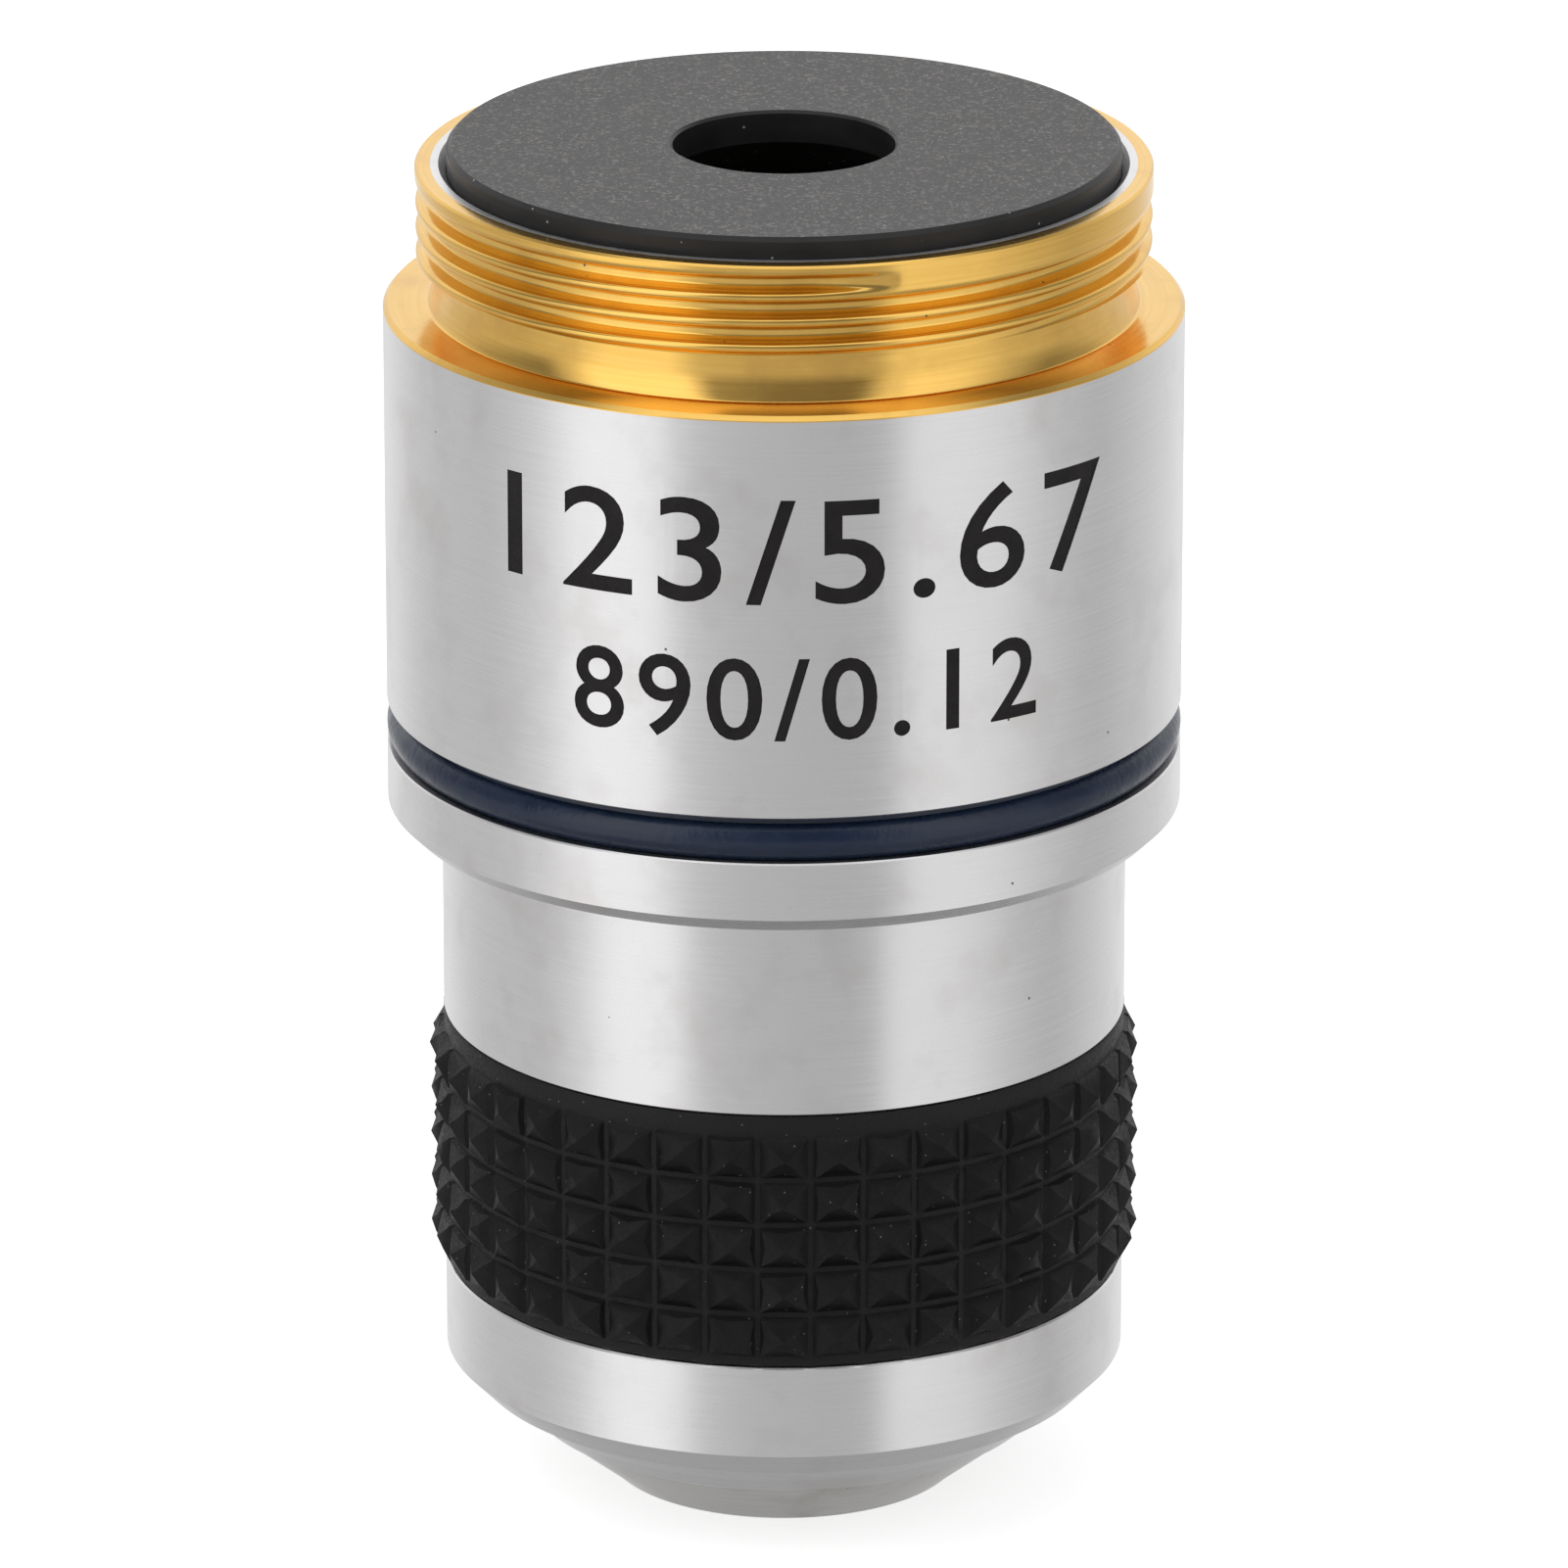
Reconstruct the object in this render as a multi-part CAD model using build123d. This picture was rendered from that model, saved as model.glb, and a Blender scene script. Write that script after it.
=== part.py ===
from build123d import *
from math import asin, cos, pi, sin, sqrt, tan
import os

# A spring-loaded microscope objective, standing on its nose. Millimetres.
# The nose's flat face is z = 0 and +Z runs up the optical axis to the mounting thread.

# Front sleeve: the narrow silver tube with the stepped cone at its end
sleeve_wall = 2.0
mouth_height = 1.76
mouth_band_width = 0.49
mouth_band_rise = 0.47
middle_band_rise = 0.665
outer_band_width = 0.75
outer_band_rise = 0.775
sleeve_front_length = 4.53
sleeve_rear_length = 5.79
sleeve_seat_depth = 1.5
spigot_step = 0.7
spigot_length = 4.03
mouth_lip_length = 1.24

# Rubber grip, in a groove round the sleeve
grip_height = 7.39
grip_groove_depth = 0.55
grip_stand_out = 0.02
grip_rows = 5
grip_columns = 41
pyramid_height = 0.38
row_pitch = 1.31
groove_width = 0.22
grip_bottom_strip = 0.28

# Barrel: the large silver body, wider than its thread by the shoulder and wider than the sleeve
shoulder_width = 0.9
barrel_step = 1.5
barrel_length = 14.63
barrel_bottom_chamfer = 0.4
shoulder_chamfer = 0.12
chamber_step = 0.5
chamber_relief = 0.1

# Colour band, in a groove low on the barrel
band_offset = 2.02
band_height = 1.27
band_groove_depth = 0.45
band_crown = 0.05
band_strip_height = 0.27
band_strip_depth = 0.2

# Mounting thread, 0.8 inch diameter, with its relief neck, and the rear baffle inside it
thread_radius = 10.1
thread_length = 2.7
thread_edge = 0.06
neck_length = 1.2
neck_depth = 0.6
rim_width = 0.85
rim_chamfer = 0.42
baffle_stand_out = 0.54
baffle_seat_depth = 1.1
baffle_ledge = 0.9
baffle_edge = 0.12
baffle_hole_radius = 3.05
baffle_hole_land = 0.9
baffle_spigot_length = 0.6

# Lens tube: slides in the sleeve, held down on its flange by the spring
running_clearance = 0.05
lens_tube_wall = 1.45
tube_lip_gap = 0.3
flange_thickness = 1.2
flange_clearance = 0.15
shim_thickness = 0.15
shim_clearance = 0.1
upper_tube_step = 0.25
upper_tube_length = 3.2
retract_travel = 1.5

# Nose cell: the cone in front, which carries the front lens and the meniscus
nose_step = 0.4
mouth_gap = 0.15
nose_cone_height = 1.69
nose_cone_width = 2.01
nose_edge_bevel = 0.07
nose_spigot_length = 1.9
nose_spigot_wall = 1.78

# Fits of the pieces that are screwed, pressed or cemented together
seat_clearance = 0.02
cement_gap = 0.02

# Front lens and meniscus
front_lens_radius = 2.0
front_lens_edge = 0.2
front_lip_thickness = 0.15
front_lip_width = 0.2
front_bore_depth = 0.75
meniscus_edge = 1.1
meniscus_hollow = 0.75
meniscus_rise = 1.3
meniscus_rim = 0.3
meniscus_cell_wall = 0.68
meniscus_seat_height = 2.4

# Doublets: a plano-concave flint below, cemented to a biconvex crown
doublet_a_wall = 1.9
doublet_a_flint_edge = 2.6
doublet_a_crown_edge = 0.6
doublet_a_joint_sag = 1.3
doublet_a_rise = 1.0
doublet_b_wall = 1.1
doublet_b_flint_edge = 2.4
doublet_b_crown_edge = 0.7
doublet_b_joint_sag = 1.2
doublet_b_rise = 0.7

# Lens cells and the rings between them, stacked in the lens tube
ledge_width = 0.45
ledge_thickness = 0.6
burnished_lip_width = 0.25
burnished_lip_height = 0.3
spacer_wall = 0.9
front_spacer_length = 3.0
middle_spacer_length = 3.6
stop_thickness = 0.8
stop_inset = 1.66
stop_bevel = 0.5
lock_ring_length = 1.6
lock_ring_wall = 1.4
spanner_slot_width = 1.2
spanner_slot_depth = 0.6

# Spring and the threaded ring behind it
spring_wire = 0.8
spring_turns = 3
retainer_thickness = 1.5
retainer_gap = 2.4
retainer_bore_clearance = 0.15

# Guide screw, through the sleeve under the grip into the lens tube's slot
screw_radius = 1.0
screw_dog_radius = 0.5
screw_dog_reach = 0.6
screw_head_depth = 0.1
screw_slot_width = 0.35
screw_slot_depth = 0.4
key_slot_depth = 0.85
key_side_clearance = 0.15
key_end_clearance = 0.3

# Heights along the axis
lip_top = mouth_height + mouth_lip_length
grip_bottom = mouth_height + sleeve_front_length
grip_top = grip_bottom + grip_height
barrel_bottom = grip_top + sleeve_rear_length
sleeve_seat = barrel_bottom + sleeve_seat_depth
sleeve_top = sleeve_seat + spigot_length
band_bottom = barrel_bottom + band_offset
band_top = band_bottom + band_height
shoulder = barrel_bottom + barrel_length
thread_bottom = shoulder + neck_length
rim = thread_bottom + thread_length
baffle_seat = rim - baffle_seat_depth
tube_bottom = lip_top + tube_lip_gap
flange_bottom = sleeve_top + shim_thickness
flange_top = flange_bottom + flange_thickness
tube_top = flange_top + upper_tube_length
retainer_top = baffle_seat - retainer_gap
retainer_bottom = retainer_top - retainer_thickness
screw_height = (grip_bottom + grip_top) / 2

# Radii, from the thread outwards to the barrel and inwards to the lenses
barrel_radius = thread_radius + shoulder_width
sleeve_radius = barrel_radius - barrel_step
sleeve_bore = sleeve_radius - sleeve_wall
spigot_radius = sleeve_radius - spigot_step
grip_floor = sleeve_radius - grip_groove_depth
chamber_radius = spigot_radius - chamber_step
band_floor = barrel_radius - band_groove_depth
neck_radius = thread_radius - neck_depth
baffle_radius = thread_radius - rim_width - seat_clearance
rear_bore = baffle_radius - baffle_ledge
tube_radius = sleeve_bore - running_clearance
tube_bore = tube_radius - lens_tube_wall
upper_tube_radius = tube_radius - upper_tube_step
nose_radius = tube_radius - nose_step
nose_tip_radius = nose_radius - nose_cone_width
mouth_radius = nose_radius + mouth_gap
cell_radius = tube_bore - seat_clearance
nose_bore = cell_radius - nose_spigot_wall
meniscus_cell_radius = nose_bore - seat_clearance
meniscus_radius = meniscus_cell_radius - meniscus_cell_wall
doublet_a_radius = cell_radius - doublet_a_wall - seat_clearance
doublet_b_radius = cell_radius - doublet_b_wall - seat_clearance
stop_hole_radius = doublet_b_radius - stop_inset


def turned(*outline):
    """A solid turned from an outline of (radius, height) points."""
    face = make_face(Plane.XZ * Polyline(*outline, close=True))
    return revolve(face, Axis.Z)


def ring(outer, inner, bottom, top):
    return turned((inner, bottom), (outer, bottom), (outer, top), (inner, top))


def surface_radius(edge_radius, rise):
    """Radius of the sphere that rises so far between a lens's edge and its middle."""
    return (edge_radius**2 + rise**2) / (2 * rise)


def rise_at(radius, edge_radius, rise):
    """Height of a raised lens surface above its edge, at a radius."""
    sphere = surface_radius(edge_radius, rise)
    return sqrt(sphere**2 - radius**2) - (sphere - rise)


def dome(edge_radius, edge_height, rise):
    """The arc of a lens surface, from the axis out to its edge."""
    sphere = surface_radius(edge_radius, rise)
    half_angle = asin(min(1, edge_radius / abs(sphere))) / 2
    middle = (abs(sphere) * sin(half_angle), edge_height + rise - sphere * (1 - cos(half_angle)))
    return ThreePointArc((0, edge_height + rise), middle, (edge_radius, edge_height))


def lens(radius, bottom, edge, bottom_rise, top_rise, rim_width=0):
    """A lens: a rise above the edge's height is positive, a hollow below it is negative."""
    clear_radius = radius - rim_width
    low_middle = (0, bottom + bottom_rise)
    high_middle = (0, bottom + edge + top_rise)
    if bottom_rise:
        lines = [dome(clear_radius, bottom, bottom_rise)]
    else:
        lines = [Line(low_middle, (clear_radius, bottom))]
    if rim_width:
        lines.append(Line((clear_radius, bottom), (radius, bottom)))
    lines.append(Line((radius, bottom), (radius, bottom + edge)))
    if top_rise:
        lines.append(dome(radius, bottom + edge, top_rise))
    else:
        lines.append(Line((radius, bottom + edge), high_middle))
    lines.append(Line(low_middle, high_middle))
    face = make_face([Plane.XZ * line for line in lines])
    return revolve(face, Axis.Z)


def cell_height(radius, stack, top_rise):
    """Height of a lens cell, from under its ledge to the top of its burnished lip."""
    lip_rise = rise_at(radius - burnished_lip_width, radius, top_rise)
    return ledge_thickness + stack + cement_gap + lip_rise + burnished_lip_height


def lens_cell(outer, radius, bottom, stack, top_rise):
    """A ring with a ledge under the lens and a lip burnished over its upper edge."""
    bore = radius + seat_clearance
    clear_radius = radius - ledge_width
    ledge_top = bottom + ledge_thickness
    lip_inner = radius - burnished_lip_width
    top = bottom + cell_height(radius, stack, top_rise)
    return turned(
        (clear_radius, bottom),
        (outer, bottom),
        (outer, top),
        (lip_inner, top),
        (lip_inner, top - burnished_lip_height),
        (bore, ledge_top + stack + cement_gap),
        (bore, ledge_top),
        (clear_radius, ledge_top),
    )


def cut_spanner_slots(solid, top, outer):
    """Two slots across a ring's upper face."""
    slots = Pos(0, 0, top) * Box(3 * outer, spanner_slot_width, 2 * spanner_slot_depth)
    return solid - slots


def make_front_sleeve():
    middle_band_top = mouth_height + mouth_band_rise + middle_band_rise
    body = turned(
        (mouth_radius, mouth_height),
        (mouth_radius + mouth_band_width, mouth_height + mouth_band_rise),
        (sleeve_radius - outer_band_width, middle_band_top),
        (sleeve_radius, middle_band_top + outer_band_rise),
        (sleeve_radius, grip_bottom),
        (grip_floor, grip_bottom),
        (grip_floor, grip_top),
        (sleeve_radius, grip_top),
        (sleeve_radius, sleeve_seat),
        (spigot_radius, sleeve_seat),
        (spigot_radius, sleeve_top),
        (sleeve_bore, sleeve_top),
        (sleeve_bore, lip_top),
        (mouth_radius, lip_top),
    )
    wall_middle = (sleeve_bore + grip_floor) / 2
    screw_hole = Cylinder(screw_radius + seat_clearance, sleeve_wall)
    return body - Pos(wall_middle, 0, screw_height) * Rot(0, 90, 0) * screw_hole


def make_pyramid_column():
    """One column of the grip: a zigzag along the axis, common with a roof along the column."""
    base = sleeve_radius + grip_stand_out
    tip = base + pyramid_height
    inner = grip_floor - grip_groove_depth
    half_angle = pi / grip_columns
    half_width = base * tan(half_angle)
    half_roof = half_width - groove_width / 2
    first_row = grip_bottom + grip_bottom_strip

    rows = [(inner, grip_bottom), (base, grip_bottom)]
    for row in range(grip_rows):
        low = first_row + row * row_pitch
        rows.append((base, low + groove_width / 2))
        rows.append((tip, low + row_pitch / 2))
        rows.append((base, low + row_pitch - groove_width / 2))
    rows += [(base, grip_top), (inner, grip_top)]
    along = extrude(make_face(Plane.XZ * Polyline(*rows, close=True)), half_width, both=True)

    roof = [(base, half_width), (base, half_roof), (tip, 0), (base, -half_roof), (base, -half_width)]
    inner_half_width = inner * tan(half_angle)
    roof += [(inner, -inner_half_width), (inner, inner_half_width)]
    across = extrude(Pos(0, 0, grip_bottom) * make_face(Polyline(*roof, close=True)), grip_height)
    return along & across


def make_grip_ring():
    """A rubber ring with rows of low four-sided pyramids between narrow grooves."""
    column = make_pyramid_column()
    columns = [Rot(0, 0, index * 360 / grip_columns) * column for index in range(grip_columns)]
    middle = Pos(0, 0, screw_height)
    bore = middle * Cylinder(grip_floor + seat_clearance, 2 * grip_height)
    return columns[0].fuse(*columns[1:]) - bore


def make_barrel():
    disc_bore = baffle_radius + seat_clearance
    chamber_bottom = sleeve_top + chamber_relief
    return turned(
        (sleeve_radius + seat_clearance, barrel_bottom),
        (barrel_radius - barrel_bottom_chamfer, barrel_bottom),
        (barrel_radius, barrel_bottom + barrel_bottom_chamfer),
        (barrel_radius, band_bottom),
        (band_floor, band_bottom),
        (band_floor, band_top),
        (barrel_radius, band_top),
        (barrel_radius, shoulder - shoulder_chamfer),
        (barrel_radius - shoulder_chamfer, shoulder),
        (neck_radius, shoulder),
        (neck_radius, thread_bottom),
        (thread_radius, thread_bottom),
        (thread_radius, rim - thread_edge),
        (thread_radius - thread_edge, rim),
        (disc_bore + rim_chamfer, rim),
        (disc_bore, rim - rim_chamfer),
        (disc_bore, baffle_seat),
        (rear_bore, baffle_seat),
        (rear_bore, retainer_top),
        (chamber_radius, retainer_top),
        (chamber_radius, chamber_bottom),
        (spigot_radius + seat_clearance, chamber_bottom),
        (spigot_radius + seat_clearance, sleeve_seat),
        (sleeve_radius + seat_clearance, sleeve_seat),
    )


def make_colour_band():
    """A ring with a crowned face and a narrower recessed strip above it."""
    inner = band_floor + seat_clearance
    edge = barrel_radius - band_crown
    crown_top = band_top - band_strip_height
    strip = barrel_radius - band_strip_depth
    crown_middle = (barrel_radius, (band_bottom + crown_top) / 2)
    lines = [
        Line((inner, band_bottom), (edge, band_bottom)),
        ThreePointArc((edge, band_bottom), crown_middle, (edge, crown_top)),
        Polyline((edge, crown_top), (strip, crown_top), (strip, band_top), (inner, band_top)),
        Line((inner, band_top), (inner, band_bottom)),
    ]
    face = make_face([Plane.XZ * line for line in lines])
    return revolve(face, Axis.Z)


def make_rear_baffle():
    """A thick disc with a hole that widens below it, and a spigot in the rear bore."""
    top = rim + baffle_stand_out
    bottom = baffle_seat - baffle_spigot_length
    flare_start = top - baffle_hole_land
    flare_radius = baffle_hole_radius + flare_start - bottom
    spigot = rear_bore - seat_clearance
    return turned(
        (baffle_hole_radius, top),
        (baffle_radius - baffle_edge, top),
        (baffle_radius, top - baffle_edge),
        (baffle_radius, baffle_seat),
        (spigot, baffle_seat),
        (spigot, bottom),
        (flare_radius, bottom),
        (baffle_hole_radius, flare_start),
    )


def make_spring_retainer():
    outer = chamber_radius - seat_clearance
    inner = upper_tube_radius + retainer_bore_clearance
    body = ring(outer, inner, retainer_bottom, retainer_top)
    return cut_spanner_slots(body, retainer_top, outer)


def make_return_spring():
    """An open coil of square wire between the flange and the retainer, touching both."""
    wire = spring_wire / 2
    height = retainer_bottom - flange_top - spring_wire
    coil_radius = (upper_tube_radius + chamber_radius) / 2
    path = Pos(0, 0, flange_top + wire) * Helix(height / spring_turns, height, coil_radius)
    section = Plane(origin=path @ 0, z_dir=path % 0) * Rectangle(spring_wire, spring_wire)
    return sweep(section, path=path, is_frenet=True)


def make_guide_screw():
    """A headless screw, lying along X, whose dog point stands in the lens tube's slot."""
    head = grip_floor - screw_head_depth
    point = tube_radius - screw_dog_reach
    body = ring_screw(screw_radius, sleeve_bore + seat_clearance, head)
    dog = ring_screw(screw_dog_radius, point, head)
    slot = Pos(head, 0, screw_height) * Box(2 * screw_slot_depth, 3 * screw_radius, screw_slot_width)
    return body + dog - slot


def ring_screw(radius, start, end):
    """A cylinder along X at the screw's height."""
    middle = Pos((start + end) / 2, 0, screw_height) * Rot(0, 90, 0)
    return middle * Cylinder(radius, end - start)


def make_parfocal_shim():
    inner = tube_radius + shim_clearance
    outer = chamber_radius - shim_clearance
    return ring(outer, inner, sleeve_top, flange_bottom)


def make_lens_tube():
    flange_radius = chamber_radius - flange_clearance
    body = turned(
        (tube_bore, tube_bottom),
        (tube_radius, tube_bottom),
        (tube_radius, flange_bottom),
        (flange_radius, flange_bottom),
        (flange_radius, flange_top),
        (upper_tube_radius, flange_top),
        (upper_tube_radius, tube_top),
        (tube_bore, tube_top),
    )
    slot_bottom = screw_height - screw_dog_radius - retract_travel - key_end_clearance
    slot_top = screw_height + screw_dog_radius + key_end_clearance
    slot_width = 2 * (screw_dog_radius + key_side_clearance)
    slot = Box(2 * key_slot_depth, slot_width, slot_top - slot_bottom)
    return body - Pos(tube_radius, 0, (slot_bottom + slot_top) / 2) * slot


def make_nose_cell():
    front_bore = front_lens_radius + seat_clearance
    front_bore_top = front_lip_thickness + front_bore_depth
    front_hole = front_lens_radius - front_lip_width
    nose_clear = nose_bore - ledge_width - burnished_lip_width
    nose_top = tube_bottom + nose_spigot_length
    return turned(
        (front_hole, 0),
        (nose_tip_radius - nose_edge_bevel, 0),
        (nose_tip_radius + nose_edge_bevel, 2 * nose_edge_bevel),
        (nose_radius, nose_cone_height),
        (nose_radius, tube_bottom),
        (cell_radius, tube_bottom),
        (cell_radius, nose_top),
        (nose_bore, nose_top),
        (nose_bore, meniscus_seat_height),
        (nose_clear, meniscus_seat_height),
        (front_bore, front_bore_top),
        (front_bore, front_lip_thickness),
        (front_hole, front_lip_thickness),
    )


def make_lens_train():
    """The glass, its cells and the rings between them, from the nose upwards."""
    pieces = {}
    pieces["front_lens"] = lens(
        front_lens_radius, front_lip_thickness, front_lens_edge, 0, front_lens_radius
    )
    meniscus_bottom = meniscus_seat_height + ledge_thickness
    pieces["meniscus_cell"] = lens_cell(
        meniscus_cell_radius,
        meniscus_radius,
        meniscus_seat_height,
        meniscus_edge,
        meniscus_rise,
    )
    pieces["meniscus_lens"] = lens(
        meniscus_radius, meniscus_bottom, meniscus_edge, meniscus_hollow, meniscus_rise, meniscus_rim
    )
    spacer_bore = cell_radius - spacer_wall
    height = tube_bottom + nose_spigot_length
    pieces["front_spacer"] = ring(cell_radius, spacer_bore, height, height + front_spacer_length)
    height += front_spacer_length
    height = add_doublet(
        pieces,
        "doublet_a",
        height,
        doublet_a_radius,
        doublet_a_flint_edge,
        doublet_a_crown_edge,
        doublet_a_joint_sag,
        doublet_a_rise,
    )
    pieces["middle_spacer"] = ring(cell_radius, spacer_bore, height, height + middle_spacer_length)
    height += middle_spacer_length
    height = add_doublet(
        pieces,
        "doublet_b",
        height,
        doublet_b_radius,
        doublet_b_flint_edge,
        doublet_b_crown_edge,
        doublet_b_joint_sag,
        doublet_b_rise,
    )
    pieces["aperture_stop"] = turned(
        (stop_hole_radius + stop_bevel, height),
        (cell_radius, height),
        (cell_radius, height + stop_thickness),
        (stop_hole_radius, height + stop_thickness),
    )
    height += stop_thickness
    lock_ring_top = height + lock_ring_length
    lock_ring = ring(cell_radius, cell_radius - lock_ring_wall, height, lock_ring_top)
    pieces["cell_lock_ring"] = cut_spanner_slots(lock_ring, lock_ring_top, cell_radius)
    return pieces


def add_doublet(pieces, name, bottom, radius, flint_edge, crown_edge, joint_sag, rise):
    """Adds a cell with its cemented pair, and gives the height of the cell's top."""
    flint_bottom = bottom + ledge_thickness
    crown_bottom = flint_bottom + flint_edge + cement_gap
    stack = flint_edge + cement_gap + crown_edge
    pieces[name + "_cell"] = lens_cell(cell_radius, radius, bottom, stack, rise)
    pieces[name + "_flint"] = lens(radius, flint_bottom, flint_edge, 0, -joint_sag)
    pieces[name + "_crown"] = lens(radius, crown_bottom, crown_edge, -joint_sag, rise)
    return bottom + cell_height(radius, stack, rise)


pieces = {
    "barrel": make_barrel(),
    "colour_band": make_colour_band(),
    "front_sleeve": make_front_sleeve(),
    "grip_ring": make_grip_ring(),
    "rear_baffle": make_rear_baffle(),
    "spring_retainer": make_spring_retainer(),
    "return_spring": make_return_spring(),
    "guide_screw": make_guide_screw(),
    "parfocal_shim": make_parfocal_shim(),
    "lens_tube": make_lens_tube(),
    "nose_cell": make_nose_cell(),
}
pieces.update(make_lens_train())

os.makedirs("parts", exist_ok=True)
for name, piece in pieces.items():
    export_step(piece, f"parts/{name}.step")
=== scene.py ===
import bpy
import random
from math import atan2, cos, degrees, hypot, pi, radians, sin, sqrt
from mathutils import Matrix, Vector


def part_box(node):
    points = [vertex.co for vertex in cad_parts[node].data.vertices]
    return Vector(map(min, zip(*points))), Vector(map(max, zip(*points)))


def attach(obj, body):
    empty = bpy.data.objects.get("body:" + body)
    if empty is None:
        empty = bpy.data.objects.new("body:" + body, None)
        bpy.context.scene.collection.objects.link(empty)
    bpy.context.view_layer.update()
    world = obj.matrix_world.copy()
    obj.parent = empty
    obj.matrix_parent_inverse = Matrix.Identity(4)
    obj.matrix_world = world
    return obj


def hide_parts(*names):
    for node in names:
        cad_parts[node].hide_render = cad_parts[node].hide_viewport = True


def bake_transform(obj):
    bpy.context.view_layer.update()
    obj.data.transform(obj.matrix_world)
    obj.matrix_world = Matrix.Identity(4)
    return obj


# A spring-loaded microscope objective, standing on its nose.
# Outlines are (radius, height) points in millimetres, and MM turns them into metres.

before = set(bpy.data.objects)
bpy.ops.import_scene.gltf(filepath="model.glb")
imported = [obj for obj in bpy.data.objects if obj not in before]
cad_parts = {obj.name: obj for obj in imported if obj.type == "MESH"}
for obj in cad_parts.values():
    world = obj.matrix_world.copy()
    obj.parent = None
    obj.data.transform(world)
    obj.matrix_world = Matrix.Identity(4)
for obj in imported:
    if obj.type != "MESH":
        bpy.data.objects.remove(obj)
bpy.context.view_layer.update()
random.seed(7)

MM = 0.001
ROUND_STEPS = 256
MERGE = 0.001 * MM
CUT_SLACK = 0.0001 * MM


def measured(node):
    """Radius, lowest height and highest height of a CAD node, in millimetres."""
    low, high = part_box(node)
    return high[0] / MM, low[2] / MM, high[2] / MM


# Sizes of the main pieces, from the frame
barrel_radius, barrel_bottom, rim = measured("barrel")
sleeve_radius, mouth, sleeve_top = measured("front_sleeve")
band_radius, band_bottom, band_top = measured("colour_band")
baffle_radius, baffle_bottom, baffle_top = measured("rear_baffle")
nose_radius, _, nose_top = measured("nose_cell")
_, tube_bottom, _ = measured("lens_tube")
lens_radius, _, lens_top = measured("front_lens")
grip_tip, grip_bottom, grip_top = measured("grip_ring")
spring_outer, spring_bottom, spring_top = measured("return_spring")

# Barrel, outside
bottom_chamfer = 0.4
band_floor = 10.55
groove_edge = 0.04
shoulder = 34.10
gold_edge = 33.95
rings_beside_numerals = (32.6, 28.2, 24.4)
shoulder_chamfer = 0.12
neck_radius = 9.5
flare_width = 0.24
flare_height = 0.95
flare_steps = 8
corner_round = 0.10
corner_steps = 6
thread_bottom = 35.30
thread_radius = 10.1
rim_flat_inner = 9.67
brass_inner = 9.0

# Barrel, inside
fit = 0.02
sleeve_seat = 20.97
spigot_radius = 8.8
chamber_radius = 8.3
chamber_bottom = 25.1
retainer_top = 34.5
rear_bore = 8.33
baffle_seat = 36.90
rim_bore = 9.25
rim_bevel = 0.2

# Thread: 36 to the inch, with a flattened crest. It ends on a row of its own vertices.
thread_pitch = 25.4 / 36
thread_depth = 0.42
thread_samples = 16
thread_start_angle = 17
thread_start_height = 37.50
helix_turns = 7
thread_rows = 957
thread_top = thread_bottom + thread_rows * thread_pitch / ROUND_STEPS
rim_edge = rim - thread_top
thread_run_in = 0.035
groove_widening = 0.2
crest_flatness = 1.8

# Sleeve
mouth_radius = 7.2
tube_bore = 7.5
lip_top = 3.0
middle_band = (7.69, 2.23)
outer_band = (8.75, 2.895)
cone_top = 3.67
grip_floor = 8.95
sleeve_edge = 0.05
screw_radius = 1.02

# Grip
grip_base = 9.52
grip_columns = 41
grip_rows = 5
grip_top_strip = 0.56
row_pitch = 1.31
grip_groove = 0.15
tile_wall = 0.05
tile_step = 0.12
side_pull = 0.15
tile_wobble = 0.045

# Camera
camera_aim = 19.975
camera_distance = 348.8
camera_elevation = 19.106
camera_lens = 288.2


def deselect_all():
    if bpy.context.mode != "OBJECT":
        bpy.ops.object.mode_set(mode="OBJECT")
    bpy.ops.object.select_all(action="DESELECT")


def make_active(piece):
    deselect_all()
    piece.select_set(True)
    bpy.context.view_layer.objects.active = piece


def select_vertices(piece, wanted):
    """Selects, in edit mode, each vertex whose radius and height the test accepts."""
    bpy.ops.mesh.select_mode(type="VERT")
    bpy.ops.mesh.select_all(action="DESELECT")
    bpy.ops.object.mode_set(mode="OBJECT")
    for vertex in piece.data.vertices:
        x, y, z = (value / MM for value in vertex.co)
        vertex.select = wanted(hypot(x, y), z)
    bpy.ops.object.mode_set(mode="EDIT")


def select_open_edges(piece, lowest, highest):
    """Selects, in edit mode, the edges with a face on one side only, between two heights."""
    bpy.ops.mesh.select_mode(type="EDGE")
    bpy.ops.mesh.select_all(action="DESELECT")
    bpy.ops.mesh.select_non_manifold(extend=False)
    bpy.ops.object.mode_set(mode="OBJECT")
    vertices = piece.data.vertices
    chosen = []
    for edge in piece.data.edges:
        heights = [vertices[index].co.z / MM for index in edge.vertices]
        if edge.select and lowest < min(heights) and max(heights) < highest:
            chosen.append(edge)
        edge.select = False
    for vertex in vertices:
        vertex.select = False
    for edge in chosen:
        edge.select = True
        for index in edge.vertices:
            vertices[index].select = True
    bpy.ops.object.mode_set(mode="EDIT")


def extrude_ring(scale, rise):
    """Extrudes the selected ring of edges and moves it to its next radius and height."""
    bpy.ops.mesh.extrude_region_move(TRANSFORM_OT_translate={"value": (0, 0, rise * MM)})
    bpy.ops.transform.resize(value=(scale, scale, 1), center_override=(0, 0, 0))


def near(value, target, slack=0.004):
    return abs(value - target) < slack


def close_up(piece):
    """Merges doubled vertices, turns all faces outwards and leaves edit mode."""
    bpy.ops.mesh.select_all(action="SELECT")
    bpy.ops.mesh.remove_doubles(threshold=MERGE)
    bpy.ops.mesh.normals_make_consistent(inside=False)
    bpy.ops.object.mode_set(mode="OBJECT")


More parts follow.
